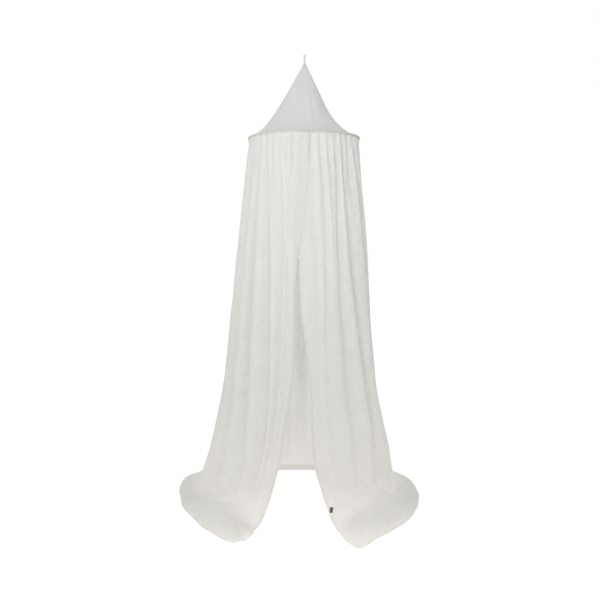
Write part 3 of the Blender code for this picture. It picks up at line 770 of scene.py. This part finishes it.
def makeCasing(material):
    # A ring of circles: radius round the rod = radius + fine gathers along the hoop + slow unevenness.
    direction = np.linspace(0, 360, casing["columns"] + 1)[None, :]
    bend = np.radians(np.linspace(casing["halfTurn"], -casing["halfTurn"], casing["rows"]))[:, None]
    turn = np.radians(direction)
    gathers = turn * casing["gathers"] + 1.2 * np.sin(turn * 9) + 0.5 * np.cos(bend)
    gathers = casing["gatherDepth"] * np.cos(gathers)
    first, second = casing["unevenness"]
    slow = first * np.sin(turn * 17 + 2) + second * np.sin(turn * 29 + bend)
    tube = casing["radius"] + gathers + slow
    points = turned(hoopRadius + tube * np.cos(bend), direction, hoopZ + tube * np.sin(bend))
    width = alongColumns(points)
    piece = addGrid("hoopCasing", points, {"cloth": (turn * hoopRadius, width)}, closed=True)
    thicken(piece, casing["thickness"])
    dress(piece, material, "hoop_casing")
    print("casing made")


# ---- the hanging loop: woven tape, sewn into the roof's tip

loop = {
    "width": 0.010,
    "pinched": 0.0076,         # width where the two sides lie together under the eye
    "pinchedAt": 0.024,        # below the loop's top
    "pinchHalf": 0.008,
    "thickness": 0.0011,
    "rise": 0.046,             # from the roof's tip to the top of the eye
    "tail": 0.013,
    "halfGap": 0.0012,
    "eyeHalfWidth": 0.0046,
    "eyeFrom": 0.30,           # part of the rise from which the eye opens
    "eyeOpens": 0.5,           # and part over which it does
    "sideRows": 25,
    "arcRows": 15,
    "columns": 9,
}


def makeLoop(material):
    # The tape's middle line goes up one side, over a half circle and down the other. Across it the tape is
    # flat, and narrower where it is pinched: a bell curve round that height.
    top = loop["thickness"] / 2
    arcCentre = top - loop["eyeHalfWidth"]
    rise = np.linspace(-loop["tail"] / loop["rise"], 1, loop["sideRows"] + 1)[:-1]
    z = -loop["rise"] + rise * (loop["rise"] + arcCentre)
    half = loop["eyeHalfWidth"]
    y = loop["halfGap"] + (half - loop["halfGap"]) * ease((rise - loop["eyeFrom"]) / loop["eyeOpens"])
    turn = np.linspace(0, math.pi, loop["arcRows"])
    arc = np.stack([half * np.cos(turn), arcCentre + half * np.sin(turn)], -1)
    up = np.stack([y, z], -1)
    path = np.concatenate([up, arc, up[::-1] * (-1, 1)])
    pinch = np.exp(-((path[:, 1] + loop["pinchedAt"]) / loop["pinchHalf"]) ** 2)
    width = loop["width"] + (loop["pinched"] - loop["width"]) * pinch
    across = np.linspace(0.5, -0.5, loop["columns"])
    points = np.empty((len(path), len(across), 3))
    points[..., 0] = width[:, None] * across[None, :] + roof["tipLean"]
    points[..., 1:] = path[:, None, :]
    along = alongColumns(points)
    piece = addGrid("hangingLoop", points, {"cloth": (points[..., 0], along)})
    thicken(piece, loop["thickness"])
    dress(piece, material, "hanging_loop")
    print("hanging loop made")


# ---- the label: a blank woven tab on the right foot's inner edge

label = {
    "width": 0.0135,
    "length": 0.021,
    "thickness": 0.0007,
    "lift": 0.0010,            # its middle above the middle of the cloth
    "lean": 0.10,              # how far its foot leans to the viewer's right
    "reach": 0.035,            # the wall's points within this much of it give its surface
    "rowsBelow": 12,           # and no further down the cloth than this
    "faces": (0, -3, 1.5),     # a point in front of the part
    "rows": 15,
    "columns": 9,
}


def makeLabel(material, wallPoints):
    # A flat tab on the wall, round the wall's own point nearest to the CAD label's middle. Its long way
    # runs down the cloth, and its surface is the wall's there: centre + along + across, lifted to the
    # quadratic that fits the wall's points nearby.
    low, high = (np.array(corner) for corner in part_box("label"))
    gap = np.linalg.norm(wallPoints - (low + high) / 2, axis=-1)
    row, column = np.unravel_index(np.argmin(gap), gap.shape)
    normal = gridNormals(wallPoints)[row, column]
    normal = normal * np.sign(normal @ (label["faces"] - wallPoints[row, column]))
    down = np.array([label["lean"], 0, -1.0])
    down = down - normal * (down @ normal)
    down = down / np.linalg.norm(down)
    across = np.cross(normal, down)
    centre = wallPoints[row, column]
    rowsDown = np.arange(len(wallPoints))[:, None] - row
    near = wallPoints[(gap < label["reach"]) & (rowsDown < label["rowsBelow"])] - centre
    a, b, c = near @ across, near @ down, near @ normal
    terms = np.stack([np.ones_like(a), a, b, a * a, a * b, b * b], axis=-1)
    fit = np.linalg.lstsq(terms, c, rcond=None)[0]
    u = np.linspace(-0.5, 0.5, label["columns"])[None, :] * label["width"]
    v = np.linspace(-0.5, 0.5, label["rows"])[:, None] * label["length"]
    u, v = np.broadcast_arrays(u, v)
    lift = np.stack([np.ones_like(u), u, v, u * u, u * v, v * v], axis=-1) @ fit + label["lift"]
    points = centre + u[..., None] * across + v[..., None] * down + lift[..., None] * normal
    piece = addGrid("blankLabel", points, {"cloth": (u, v)})
    thicken(piece, label["thickness"])
    dress(piece, material, "label")
    print("label made")


# ---- floor and light

studio = {
    "floorSize": 14.0,         # from its middle to an edge
    "floorDrop": 0.0004,       # below the cloth that lies on it
    "white": 1.0,              # the backdrop's brightness in the picture
    "surround": 1.00,          # the soft light from all round
    "backMore": 0.08,          # more of it from the backdrop, and as much less from the front
    "brightSide": "#fcfcfd",
    "dimSide": "#aeaaa8",      # from the two sides
    "rightDimmer": 0.16,
    "topDimmer": 0.30,
    "floorGlow": 0.62,         # what the floor adds to the light on it, to show white
    "floorFill": "#e2d8d3",    # and what it throws back on the cloth, a little warmer
    "lamps": (                 # place, point that it shines at, watts, width and height, spread, colour
        ((-0.8, -3.3, 2.1), (0.0, 0.0, 1.55), 5.3, (1.4, 1.4), 46.0, "#fdfffb"),
        ((0.1, -2.1, 2.3), (0.06, -0.57, 0.0), 1.05, (1.6, 0.3), 12.0, "#fff6f0"),
    ),
}


def makeStudio():
    size, level = studio["floorSize"], floorZ - studio["floorDrop"]
    mesh = bpy.data.meshes.new("studioFloor")
    mesh.from_pydata([(x * size, y * size, level) for x, y in ((-1, -1), (1, -1), (1, 1), (-1, 1))],
                     [], [(0, 1, 2, 3)])
    floor = addObject("studioFloor", mesh)
    material, tree = newTree("white studio floor")
    seen = addNode(tree, "LightPath").outputs["Is Camera Ray"]
    glow = mixed(tree, seen, toLinear(studio["floorFill"]), [studio["floorGlow"]] * 3 + [1.0])
    paint = addNode(tree, "BsdfPrincipled", {
        "Base Color": (0.6, 0.6, 0.6, 1), "Roughness": 0.9, "Specular IOR Level": 0.0,
        "Emission Color": glow, "Emission Strength": 1.0,
    })
    addNode(tree, "OutputMaterial", {"Surface": paint})
    mesh.materials.append(material)

    world = bpy.data.worlds.new("studio")
    bpy.context.scene.world = world
    world.use_nodes = True
    world.node_tree.nodes.clear()
    tree = world.node_tree
    heading = addNode(tree, "TexCoord").outputs["Generated"]
    heading = addNode(tree, "SeparateXYZ", {"Vector": heading}).outputs
    # Dimness = x^2 (1 + rightDimmer x) + topDimmer z^2 for a direction (x, y, z).
    sideways = reckoned(tree, "MULTIPLY", heading["X"], heading["X"])
    lean = reckoned(tree, "MULTIPLY_ADD", heading["X"], studio["rightDimmer"], 1.0)
    sideways = reckoned(tree, "MULTIPLY", sideways, lean)
    upwards = reckoned(tree, "MULTIPLY", heading["Z"], heading["Z"])
    dimness = reckoned(tree, "MULTIPLY_ADD", upwards, studio["topDimmer"], sideways)
    around = mixed(tree, dimness, toLinear(studio["brightSide"]), toLinear(studio["dimSide"]))
    strength = reckoned(tree, "MULTIPLY_ADD", heading["Y"], studio["backMore"], studio["surround"])
    around = addNode(tree, "VectorMath", {0: around, "Scale": strength}, operation="SCALE")
    seen = addNode(tree, "LightPath").outputs["Is Camera Ray"]
    colour = mixed(tree, seen, around, [studio["white"]] * 3 + [1.0])
    sky = addNode(tree, "Background", {"Color": colour, "Strength": 1.0})
    addNode(tree, "OutputWorld", {"Surface": sky})

    for place, shinesAt, power, size, spread, colour in studio["lamps"]:
        lamp = bpy.data.lights.new("softLamp", "AREA")
        lamp.shape = "RECTANGLE"
        lamp.energy, lamp.spread = power, math.radians(spread)
        lamp.size, lamp.size_y = size
        lamp.color = toLinear(colour)[:3]
        holder = addObject("softLamp", lamp)
        holder.location = (place[0], place[1], floorZ + place[2])
        aim = np.subtract(shinesAt, place)
        holder.rotation_euler = (math.atan2(math.hypot(aim[0], aim[1]), -aim[2]), 0,
                                 math.atan2(aim[1], aim[0]) - math.pi / 2)
    bpy.context.scene.view_settings.view_transform = "Standard"
    print("studio made")


addCamera()
makeStudio()
wallCloth = voileCloth("cotton voile, printed with spots", "#f8f9f8", "#e4e4e2", "#e6e4e0", hemmed=True)
# The roof's voile is the wall's made a little darker and greyer: painted shade on the upward-facing roof.
roofCloth = voileCloth("cotton voile, drawn smooth, with painted shade", "#f6f6f6", "#e4e4e4", "#e6e4e0", hemmed=False)
# The casing's voile is the wall's made darker: painted shade on the roll round the rod.
casingCloth = voileCloth("cotton voile, rolled, with painted shade", "#f2f2f1", "#e2e2e1", "#e4e4e3", hemmed=False)
tapeCloth = wovenTape("herringbone cotton tape", "#cacbcd", "#b0b1b3", 0.0012)
labelCloth = wovenTape("dark woven tab", "#6f6c6c", "#4a4848", 0.0009)
makeLoop(tapeCloth)
makeRoof(roofCloth)
makeCasing(casingCloth)
wallPoints = makeWall(wallCloth)
makeLabel(labelCloth, wallPoints)

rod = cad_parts["hoop"]
rod.data.materials.clear()
rod.data.materials.append(extrudedRod("extruded white plastic", "#f1f1ef"))
print("hoop's rod finished")
